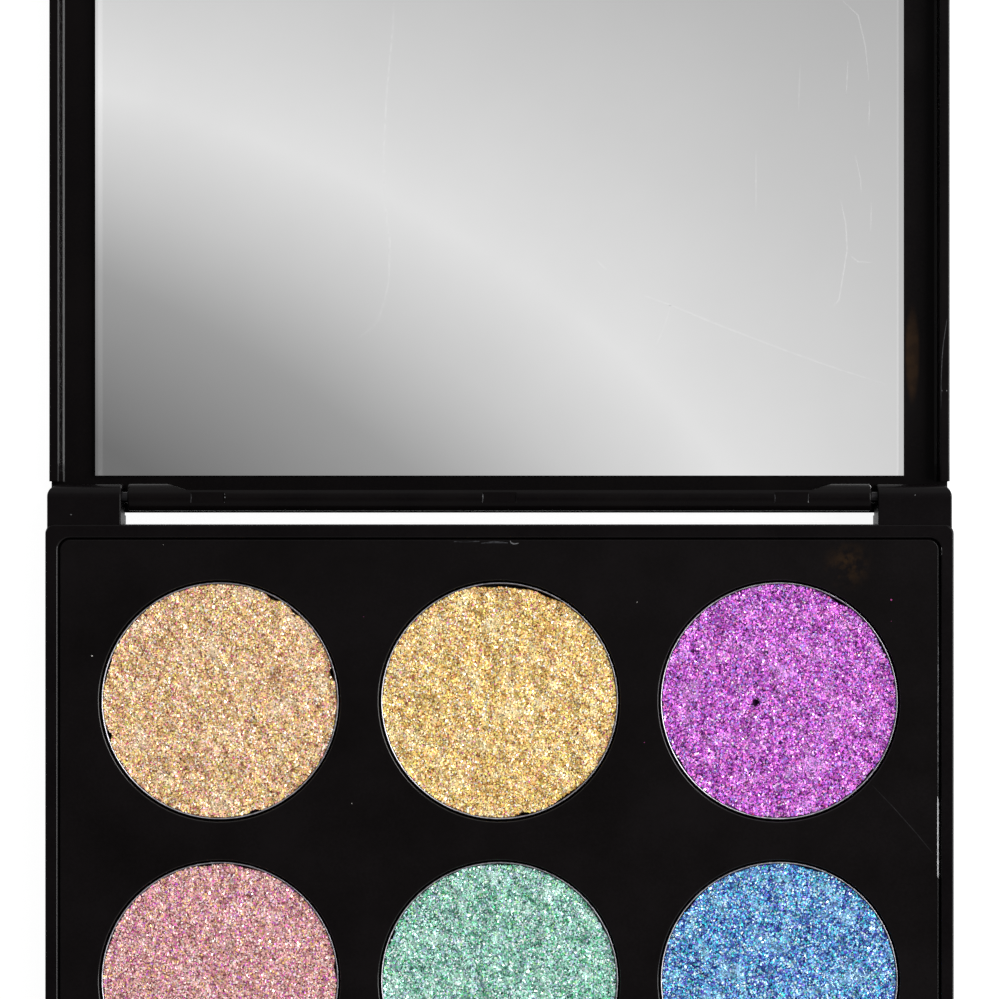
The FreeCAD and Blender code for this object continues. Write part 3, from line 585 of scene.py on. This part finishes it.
def flakePlates(shade, x, y, radius, edgeAt, heightAt, leanAt):  # corners of small tilted plates that overlap
    rng = np.random.default_rng(shade["seed"])
    count = flakeLook["count"]
    index = np.arange(count) + 0.5
    r = radius * np.sqrt(index / count)
    evenTurn = index * math.pi * (3 - math.sqrt(5))  # by the golden angle, which scatters them evenly
    turn = evenTurn + rng.normal(0, flakeLook["turnJitter"], count)
    px = r * np.cos(turn) + rng.normal(0, flakeLook["jitter"] * mm, count)
    py = r * np.sin(turn) + rng.normal(0, flakeLook["jitter"] * mm, count)
    keep = np.hypot(px, py) < edgeAt(np.arctan2(py, px)) - flakeLook["margin"] * mm
    for pitX, pitY, pitR in shade["pits"]:
        keep &= np.hypot(px - pitX * mm, py - pitY * mm) > pitR * mm
    px, py = px[keep], py[keep]
    count = len(px)

    leanX, leanY = leanAt(px, py)
    leanX = leanX + np.tan(np.radians(rng.normal(0, flakeLook["tilt"], count)))
    leanY = leanY + np.tan(np.radians(rng.normal(0, flakeLook["tilt"], count)))
    ways = np.stack([leanX, leanY, np.ones(count)], 1)
    ways /= np.linalg.norm(ways, axis=1)[:, None]
    across = np.cross(ways, np.stack([np.zeros(count), np.ones(count), np.zeros(count)], 1))
    across /= np.linalg.norm(across, axis=1)[:, None]
    along = np.cross(ways, across)
    middles = np.stack([px + x, py + y, heightAt(px, py) + rng.normal(0, flakeLook["lift"] * mm, count)], 1)
    powers = np.clip(rng.normal(0, flakeLook["sizeSpread"], count), *flakeLook["sizeLimits"])
    size = flakeLook["size"] * mm * np.exp(powers)
    start = rng.uniform(0, math.pi, count)
    jitter = flakeLook["cornerJitter"]
    corners = []
    for k in range(4):
        turn = start + (k + rng.uniform(-jitter, jitter, count)) * math.pi / 2
        reach = size * rng.uniform(*flakeLook["cornerReach"], count)
        sideways, onward = across * (reach * np.cos(turn))[:, None], along * (reach * np.sin(turn))[:, None]
        corners.append(middles + sideways + onward)
    return np.stack(corners, 1)


def glitterCake(spot, shade):
    x, y, bottom, top, radius = middleOf("shadow_" + spot)
    radius += cakeLook["tinGap"] * mm  # up to the thin tin
    edgeAt, heightAt, leanAt = cakeSurface(shade, radius, top)
    points, faces = binderBody(x, y, bottom, edgeAt, heightAt)
    flakes = flakePlates(shade, x, y, radius, edgeAt, heightAt, leanAt)
    faceSlots = [0] * len(faces) + [1] * len(flakes)
    first = len(points)
    points += list(flakes.reshape(-1, 3))
    faces += [tuple(range(k, k + 4)) for k in range(first, len(points), 4)]
    materials = [binderPowder("powder_" + spot, shade), flakeFoil("flakes_" + spot, shade)]
    piece = newPiece("cake_" + spot, points, faces, materials, "base", faceSlots=faceSlots)
    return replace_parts(piece, "shadow_" + spot)


for spot, shade in cakeShades.items():
    tinPan(spot)
    glitterCake(spot, shade)
print("pans filled:", len(cakeShades))

# Wear and painted highlights: scratches in the mirror, rubbed plastic, painted highlights on edges of the
# tray, the bar and the base rim, and stray glitter

markGrain = {"size": 0.4, "range": (0.35, 0.65)}
wearAndHighlightLooks = {
    "longScratch": {"low": "f4f4f4", "high": "fbfbfb", "rough": 0.06, "metal": 0.97},
    "shortScratch": {"low": "f4f4f4", "high": "fcfcfc", "rough": 0.06, "metal": 0.93},
    "wipeStreak": {"low": "f4f4f4", "high": "fafafa", "rough": 0.06, "metal": 0.99},
    "rubbedBlack": {"low": "19191b", "high": "363639", "shine": 0.1},
    "rubbedHair": {"low": "121112", "high": "201f20", "shine": 0.1},
    # The bright, soft and faint finishes serve both real rubbing and painted highlights
    "faintWearAndHighlight": {"low": "222224", "high": "444446", "shine": 0.2},
    "softWearAndHighlight": {"low": "363638", "high": "747476", "shine": 0.2},
    "brightWearAndHighlight": {"low": "606062", "high": "cacacc", "shine": 0.3},
    # painted highlight for the tray's edge
    "paintedEdgeHighlight": {"low": "a4a4a6", "high": "d2d2d4", "shine": 0.3},
    "strayPale": {"low": "8a8684", "high": "e8e4de", "rough": 0.3},
    "strayPink": {"low": "641e4c", "high": "a83c84", "rough": 0.3},
    "strayDust": {"low": "4a4a4c", "high": "8e8e90", "rough": 0.6},
}


def wearAndHighlightMark(name, low, high, rough=0.5, shine=0.5, metal=0.0):
    made, tree, shader = startMaterial(name)
    patchy = grain(tree, objectCoords(tree), markGrain["size"])
    feedSockets(tree, shader, Base_Color=twoTones(tree, patchy, markGrain["range"], low, high))
    setSockets(shader, Roughness=rough, Specular_IOR_Level=shine, Metallic=metal)
    return made


wearAndHighlightFinishes = {name: wearAndHighlightMark(name, **look) for name, look in wearAndHighlightLooks.items()}
rayStart = 20  # above everything


def skinOf(nodeName):  # height of a CAD node's upper surface at x, y
    mesh = nodes[nodeName].data
    skin = BVHTree.FromPolygons([v.co for v in mesh.vertices], [tuple(p.vertices) for p in mesh.polygons])
    return lambda x, y: skin.ray_cast(Vector((x, y, rayStart * mm)), Vector((0, 0, -1)))[0].z


carriers = {  # node -> its surface, its body and its material slot
    "base_shell": (skinOf("base_shell"), "base", "black_plastic"),
    "pan_tray": (skinOf("pan_tray"), "base", "tray_plastic"),
    "lid_shell": (skinOf("lid_shell"), "lid", "black_plastic"),
    "mirror": (skinOf("mirror"), "lid", "mirror_glass"),
}

# Strokes are flat ribbons that thin out at both ends. Their paths run from the frame's origin.

strokeLook = {"tip": 0.35, "lift": 0.006}  # tip: share of the width
barFlats = {"rear": 0.4, "middleShift": 0.03, "front": -0.55, "frontShift": -0.02}


def flatEndHighlights(*places):  # painted highlight lines across the bar where its flats end
    axis = hingeY / mm
    rear, front = axis + barFlats["rear"], axis + barFlats["front"]
    middleShift, frontShift = barFlats["middleShift"], barFlats["frontShift"]
    return [[(x, rear), (x + middleShift, axis), (x + frontShift, front)] for x in places]


wearAndHighlightStrokes = {
    "mirror_scratch_long": {"on": "mirror", "finish": "longScratch", "width": 0.2, "paths": [
        [(-11.7, 92.5), (-11.8, 89.7), (-12.25, 85.0), (-12.55, 81.7), (-12.8, 76.2), (-12.8, 71.7),
         (-12.55, 69.0), (-12.15, 66.2), (-12.25, 61.8), (-12.7, 59.5), (-13.45, 57.3), (-14.45, 56.2),
         (-15.65, 55.3)]]},
    "mirror_scratch_short": {"on": "mirror", "finish": "shortScratch", "width": 0.16, "paths": [
        [(37.8, 70.6), (38.35, 67.9), (38.5, 65.1), (38.05, 62.3), (37.6, 59.6), (36.8, 58.7)],
        [(39.4, 75.6), (40.0, 72.8), (40.05, 71.5)],
        [(41.15, 70.3), (41.15, 68.7), (41.1, 67.1)],
        [(38.6, 86.1), (38.5, 84.2), (38.4, 82.3)],
        [(38.0, 92.7), (39.7, 91.1), (40.5, 87.8), (40.9, 83.9)],
        [(40.95, 81.7), (40.95, 80.3), (40.9, 78.9)],
        [(38.8, 64.5), (39.7, 63.8), (41.2, 63.7)]]},
    "mirror_wipes": {"on": "mirror", "finish": "wipeStreak", "width": 0.22, "paths": [
        [(15.9, 60.1), (18.9, 59.0), (25.0, 56.5), (31.6, 54.0), (37.5, 51.9), (43.2, 50.1)],
        [(10.6, 64.2), (11.2, 63.5), (11.9, 62.9)],
        [(18.9, 59.0), (18.4, 57.0), (17.4, 54.6)],
        [(33.3, 85.6), (33.2, 83.0), (33.1, 80.6)],
        [(28.4, 76.2), (28.4, 72.5), (28.4, 69.0)]]},
    "tray_scuffs": {"on": "pan_tray", "finish": "rubbedBlack", "width": 0.24, "paths": [
        [(-5.0, 32.84), (-3.6, 32.9), (-2.2, 32.86)],
        [(-2.0, 32.66), (-0.6, 32.8), (0.9, 32.7)]]},
    "tray_nick": {"on": "pan_tray", "finish": "softWearAndHighlight", "width": 0.16, "paths": [
        [(1.15, 32.92), (1.3, 32.7), (1.6, 32.58), (2.1, 32.66)]]},
    "tray_hair": {"on": "pan_tray", "finish": "rubbedHair", "width": 0.08, "paths": [
        [(40.9, 6.1), (43.3, 3.6), (45.6, 1.0), (47.5, -1.3)]]},
    # Painted highlight on the tray's right edge. Two side by side, because a single wide one would sink
    # into the rounded edge
    "tray_edge_painted_highlight": {"on": "pan_tray", "finish": "paintedEdgeHighlight", "width": 0.085, "paths": [
        [(48.08, 4.9), (48.08, 4.2), (48.08, 1.0), (48.08, -3.6), (48.08, -4.0)],
        [(48.16, 4.6), (48.16, 4.0), (48.16, 1.0), (48.16, -3.7), (48.16, -4.1)]]},
    # painted highlight, fainter, further along the same edge
    "tray_edge_painted_highlight_faint": {"on": "pan_tray", "finish": "softWearAndHighlight", "width": 0.1, "paths": [
        [(48.14, 22.4), (48.14, 20.0), (48.13, 17.0), (48.12, 13.0), (48.12, 9.0), (48.12, 5.4)]]},
    "lid_hair": {"on": "lid_shell", "finish": "faintWearAndHighlight", "width": 0.07, "paths": [
        [(49.43, 57.4), (49.25, 56.2), (49.02, 54.6), (48.88, 53.0), (48.81, 51.4), (48.78, 49.8),
         (48.77, 47.5)]]},
    "lid_nicks": {"on": "lid_shell", "finish": "brightWearAndHighlight", "width": 0.08, "paths": [
        [(49.39, 49.54), (49.4, 49.49), (49.39, 49.44)],
        [(48.88, 49.5), (48.87, 49.46), (48.88, 49.42)]]},
    # Painted highlights where the bar's flats end
    "bar_flat_highlight_bright": {"on": "lid_shell", "finish": "brightWearAndHighlight", "width": 0.14,
                        "paths": flatEndHighlights(33.9)},
    "bar_flat_highlight_soft": {"on": "lid_shell", "finish": "softWearAndHighlight", "width": 0.1,
                      "paths": flatEndHighlights(-30.15, -1.85)},
    "bar_flat_highlight_faint": {"on": "lid_shell", "finish": "faintWearAndHighlight", "width": 0.08,
                       "paths": flatEndHighlights(-33.85, 1.85, 30.2)},
    # A painted glint on the base rim's inner edge
    "rim_painted_glint": {"on": "base_shell", "finish": "brightWearAndHighlight", "width": 0.1, "paths": [
        [(48.47, 32.2), (48.49, 31.8), (48.48, 31.4)]]},
}


def wearAndHighlightStroke(name, look):
    heightAt, body, slotName = carriers[look["on"]]
    points, faces = [], []
    for path in look["paths"]:
        line = [Vector(p) for p in path]
        first, last = len(points), len(line) - 1
        for k, at in enumerate(line):
            way = (line[min(k + 1, last)] - line[max(k - 1, 0)]).normalized()
            thin = strokeLook["tip"] if k in (0, last) else 1.0
            side = Vector((-way.y, way.x)) * look["width"] * thin / 2
            for p in (at - side, at + side):
                points.append((p.x * mm, p.y * mm, heightAt(p.x * mm, p.y * mm) + strokeLook["lift"] * mm))
        for k in range(first, first + 2 * last, 2):
            faces.append((k, k + 2, k + 3, k + 1))
    return newPiece(name, points, faces, [wearAndHighlightFinishes[look["finish"]]], body)


for name, look in wearAndHighlightStrokes.items():
    wearAndHighlightStroke(name, look)

strayLook = {"corners": 5, "cornerJitter": 0.3, "cornerReach": (0.7, 1.1), "lift": 0.01, "seed": 4}
strayFlakes = {  # flakes: x, y and size
    "pale": {"on": "pan_tray", "finish": "strayPale", "flakes": [
        (-36.9, 32.5, 0.04), (15.1, 26.2, 0.06), (-44.7, 20.3, 0.09), (-16.2, 4.1, 0.05)]},
    "pink": {"on": "pan_tray", "finish": "strayPink", "flakes": [
        (42.98, 26.45, 0.13), (42.98, 24.1, 0.04), (15.9, 10.8, 0.06), (-14.9, 24.6, 0.05)]},
    "dust": {"on": "base_shell", "finish": "strayDust", "flakes": [
        (-47.0, 35.8, 0.08), (45.6, 37.95, 0.07)]},
}


def scatterStrays(kind, look):
    rng = np.random.default_rng(strayLook["seed"])
    heightAt = carriers[look["on"]][0]
    corners, jitter = strayLook["corners"], strayLook["cornerJitter"]
    points, faces = [], []
    for x, y, size in look["flakes"]:
        first = len(points)
        for k in range(corners):
            turn = (k + rng.uniform(-jitter, jitter)) * 2 * math.pi / corners
            reach = size * rng.uniform(*strayLook["cornerReach"])
            px, py = (x + reach * math.cos(turn)) * mm, (y + reach * math.sin(turn)) * mm
            points.append((px, py, heightAt(px, py) + strayLook["lift"] * mm))
        faces.append(tuple(range(first, first + corners)))
    return newPiece("stray_" + kind, points, faces, [wearAndHighlightFinishes[look["finish"]]], "base")


for kind, look in strayFlakes.items():
    scatterStrays(kind, look)
print("wear added")

# Floor: half its width is in metres

floorLook = {"half": 3.0, "drop": 0.2, "paint": "8c8c8c", "glow": 0.93}


def paleFloor():
    half, z = floorLook["half"], -floorLook["drop"] * mm
    mesh = bpy.data.meshes.new("floor")
    corners = [(-half, -half, z), (half, -half, z), (half, half, z), (-half, half, z)]
    mesh.from_pydata(corners, [], [(0, 1, 2, 3)])
    floor = bpy.data.objects.new("floor", mesh)
    bpy.context.scene.collection.objects.link(floor)
    made, tree, shader = startMaterial("floorPaper")
    tree.nodes.remove(shader)
    paper = addNode(tree, "BsdfDiffuse", {"Color": tone(floorLook["paint"])})
    path = addNode(tree, "LightPath").outputs
    seen = sums(tree, "MAXIMUM", path["Is Camera Ray"],
                sums(tree, "MAXIMUM", path["Is Glossy Ray"], path["Is Transmission Ray"]))
    glow = sums(tree, "MULTIPLY", seen, floorLook["glow"])
    white = addNode(tree, "Emission", {"Color": grey(1), "Strength": glow})
    both = addNode(tree, "AddShader", {0: paper.outputs[0], 1: white.outputs[0]})
    tree.links.new(both.outputs[0], tree.nodes["Material Output"].inputs["Surface"])
    mesh.materials.append(made)


paleFloor()

# Studio light: a room by direction, with a dim ceiling over the pans and a graded card over the mirror. The
# card begins at a y / z of the direction, and slant says how its shade runs over x / z and y / z.

roomLook = {
    "walls": 0.5, "toRight": 0.36, "toRear": 0.24, "ceiling": 0.1, "overhead": (0.90, 0.985), "lowest": 0.05,
    "cardStart": (-0.045, -0.01),
    "slant": {"start": 0.69, "across": -4.2, "along": -4.0, "twist": 22.0, "bend": -5.5},
    "card": [(0.0, 0.5), (0.45, 0.84), (0.6, 0.64), (0.75, 0.38), (1.0, 0.18)],  # one light band, then dark
}


def studioRoom():
    world = bpy.data.worlds.new("studioRoom")
    bpy.context.scene.world = world
    world.use_nodes = True
    tree = world.node_tree
    way = axesOf(tree, addNode(tree, "TexCoord").outputs["Generated"])
    height = sums(tree, "MAXIMUM", way["Z"], roomLook["lowest"])
    u = sums(tree, "DIVIDE", way["X"], height)
    v = sums(tree, "DIVIDE", way["Y"], height)
    run = roomLook["slant"]
    across = sums(tree, "MULTIPLY", u, sums(tree, "MULTIPLY_ADD", v, run["twist"], run["across"]))
    along = sums(tree, "MULTIPLY", v, sums(tree, "MULTIPLY_ADD", v, run["bend"], run["along"]))
    slant = sums(tree, "ADD", sums(tree, "ADD", across, along), run["start"])
    card = ramp(tree, slant, [(place, grey(level)) for place, level in roomLook["card"]])
    behind = spread(tree, v, roomLook["cardStart"], (0, 1), soft=True)
    ceiling = mixTones(tree, behind, grey(roomLook["ceiling"]), card)
    walls = sums(tree, "MULTIPLY_ADD", way["X"], roomLook["toRight"],
                 sums(tree, "MULTIPLY_ADD", way["Y"], roomLook["toRear"], roomLook["walls"]))
    overhead = spread(tree, way["Z"], roomLook["overhead"], (0, 1), soft=True)
    room = mixTones(tree, overhead, walls, ceiling)
    seen = addNode(tree, "LightPath").outputs["Is Camera Ray"]
    tree.links.new(mixTones(tree, seen, room, grey(1)), tree.nodes["Background"].inputs["Color"])


studioRoom()

lampLook = {"place": (0.44, 0.12, 0.47), "size": (0.5, 0.34), "radiance": 8.6}  # metres, the long side first


def studioLamp(lampName, look):
    lamp = bpy.data.lights.new(lampName, "AREA")
    lamp.shape = "RECTANGLE"
    lamp.size, lamp.size_y = look["size"]
    lamp.energy = look["radiance"] * math.pi * lamp.size * lamp.size_y
    holder = bpy.data.objects.new(lampName, lamp)
    bpy.context.scene.collection.objects.link(holder)
    place = Vector(look["place"])
    toward = (Vector((0, hingeY, 0)) - place).normalized()  # at the middle of the hinge
    sideways = toward.cross(Vector((0, 0, 1))).normalized()  # the lamp's long side lies level
    upward = sideways.cross(toward)
    turned = Matrix((sideways, upward, -toward)).transposed().to_4x4()
    holder.matrix_world = Matrix.Translation(place) @ turned


studioLamp("rightBox", lampLook)

# Camera, straight above. Its place and its range are in metres.

cameraLook = {"place": (0.0, 0.03746, 0.4775), "lens": 154.5, "sensor": 36, "near": 0.01, "far": 20}


def overheadCamera():
    eye = bpy.data.objects.new("camera", bpy.data.cameras.new("camera"))
    bpy.context.scene.collection.objects.link(eye)
    eye.location = cameraLook["place"]
    eye.data.sensor_width = cameraLook["sensor"]
    eye.data.lens = cameraLook["lens"]
    eye.data.clip_start, eye.data.clip_end = cameraLook["near"], cameraLook["far"]
    bpy.context.scene.camera = eye


overheadCamera()
bpy.context.scene.view_settings.view_transform = "Standard"
print("light and camera set")
